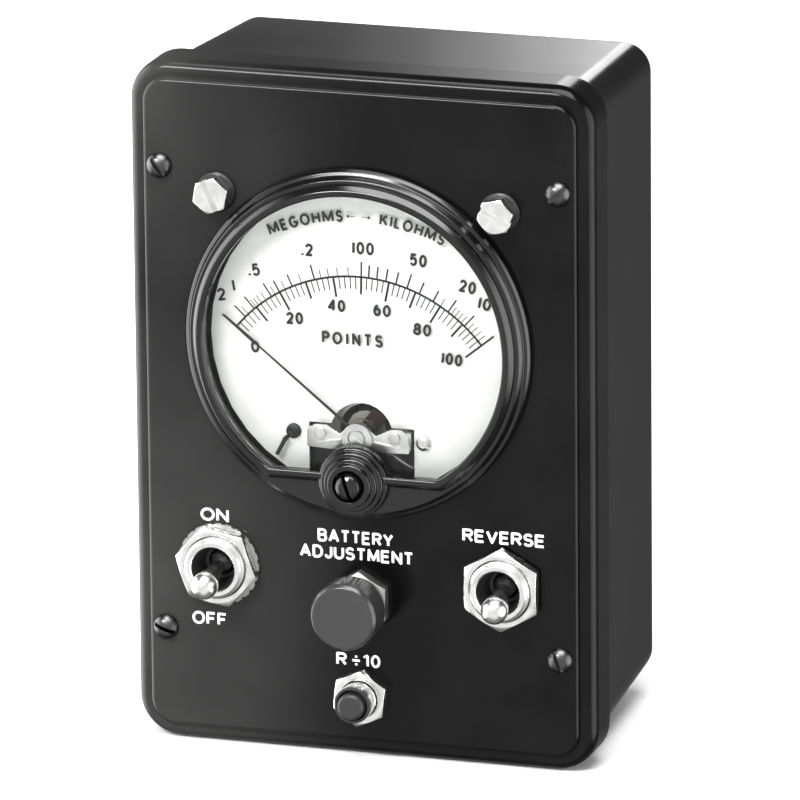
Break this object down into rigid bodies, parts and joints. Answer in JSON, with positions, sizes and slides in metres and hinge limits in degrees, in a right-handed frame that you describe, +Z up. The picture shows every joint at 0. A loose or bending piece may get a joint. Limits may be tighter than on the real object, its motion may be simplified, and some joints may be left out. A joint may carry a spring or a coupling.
{
  "type": "insulation resistance tester",
  "caption": "Small battery-powered insulation resistance tester in a black moulded case, with a round dial meter, toggle switches, a knob, a push button and lead terminals.",
  "frame": {"origin": "middle of the bottom of the bounding box", "axes": "+X to the right seen from the front, +Y from the front panel towards the back of the case, +Z up"},
  "size_m": [0.0922, 0.068, 0.1347],
  "materials": {
    "phenolic": "glossy black compression-moulded phenolic",
    "knob_phenolic": "satin dark grey-black moulding",
    "plated": "bright nickel plate with light wear",
    "blackened": "black finish on steel, semi-gloss",
    "brass": "plain machined brass",
    "glass": "clear, polished",
    "dial": "matte white enamel with black printing",
    "pointer_black": "matte black lacquer",
    "silver": "bright stamped metal",
    "iron": "ground soft iron",
    "copper": "enamelled copper winding",
    "bronze": "phosphor bronze strip",
    "laminate": "brown paper-phenolic laminate",
    "resistor": "dipped tan body",
    "battery": "printed steel jacket"
  },
  "bodies": {
    "instrument": {"adjust_control_body": "plated", "adjust_control_bushing": "plated", "adjust_control_nut": "plated", "battery": "battery", "battery_clip": "silver", "calibration_resistor": "resistor", "circuit_board": "laminate", "dial_plate": "dial", "dial_screw_left": "silver", "dial_screw_right": "silver", "front_cover": "phenolic", "jewel_screw": "brass", "magnet": "iron", "meter_base": "phenolic", "meter_bezel": "phenolic", "meter_glass": "glass", "meter_stud_left": "brass", "meter_stud_nut_left": "brass", "meter_stud_nut_right": "brass", "meter_stud_right": "brass", "movement_bridge": "silver", "movement_core": "iron", "panel_screw_bottom_left": "blackened", "panel_screw_bottom_right": "blackened", "panel_screw_top_left": "blackened", "panel_screw_top_right": "blackened", "pointer_stop": "silver", "pole_shoe_left": "iron", "pole_shoe_right": "iron", "power_switch_body": "laminate", "power_switch_bushing": "plated", "power_switch_lock_washer": "plated", "power_switch_nut": "plated", "push_button_spring": "silver", "push_switch_body": "laminate", "push_switch_bushing": "plated", "push_switch_nut": "plated", "rear_case": "phenolic", "reverse_switch_body": "laminate", "reverse_switch_bushing": "plated", "reverse_switch_lock_washer": "plated", "reverse_switch_nut": "plated", "terminal_insert_left": "brass", "terminal_insert_right": "brass", "terminal_screw_left": "plated", "terminal_screw_right": "plated", "terminal_washer_left": "plated", "terminal_washer_right": "plated"},
    "power_toggle": {"power_switch_lever": "plated"},
    "reverse_toggle": {"reverse_switch_lever": "plated"},
    "battery_adjust_rotor": {"adjust_knob": "knob_phenolic", "adjust_control_shaft": "plated", "adjust_knob_set_screw": "blackened"},
    "push_button_plunger": {"push_button": "phenolic"},
    "meter_movement": {"moving_coil": "copper", "pointer": "pointer_black", "hairspring": "bronze"},
    "zero_adjuster_screw": {"zero_adjuster": "phenolic"},
    "zero_adjusting_arm": {"zero_arm": "silver"}
  },
  "joints": [
    {"name": "power_toggle", "type": "hinge", "parent": "instrument", "child": "power_toggle", "pos_m": [-0.0285, -0.02045, 0.03635], "axis": [-1, 0, 0], "range_deg": [0, 20]},
    {"name": "reverse_toggle", "type": "hinge", "parent": "instrument", "child": "reverse_toggle", "pos_m": [0.0285, -0.02045, 0.03635], "axis": [-1, 0, 0], "range_deg": [0, 20]},
    {"name": "battery_adjustment", "type": "hinge", "parent": "instrument", "child": "battery_adjust_rotor", "pos_m": [0, -0.02145, 0.03135], "axis": [0, 1, 0], "range_deg": [-150, 150]},
    {"name": "push_button", "type": "slide", "parent": "instrument", "child": "push_button_plunger", "axis": [0, 1, 0], "range_m": [0, 0.0025], "stiffness_N_per_m": 400, "springref_m": -0.002, "deforming": ["push_button_spring"]},
    {"name": "pointer", "type": "hinge", "parent": "instrument", "child": "meter_movement", "pos_m": [0, -0.02145, 0.064], "axis": [0, 1, 0], "range_deg": [-2, 102], "stiffness_Nm_per_rad": 0.0003, "deforming": ["hairspring"]},
    {"name": "zero_adjustment", "type": "hinge", "parent": "instrument", "child": "zero_adjuster_screw", "pos_m": [0, -0.02145, 0.05605], "axis": [0, 1, 0], "range_deg": [-40, 40]},
    {"name": "zero_arm", "type": "hinge", "parent": "instrument", "child": "zero_adjusting_arm", "pos_m": [0, -0.02145, 0.064], "axis": [0, 1, 0], "range_deg": [-7, 7]}
  ],
  "couplings": [
    {"joint": "zero_arm", "follows": "zero_adjustment", "ratio": -0.165}
  ]
}
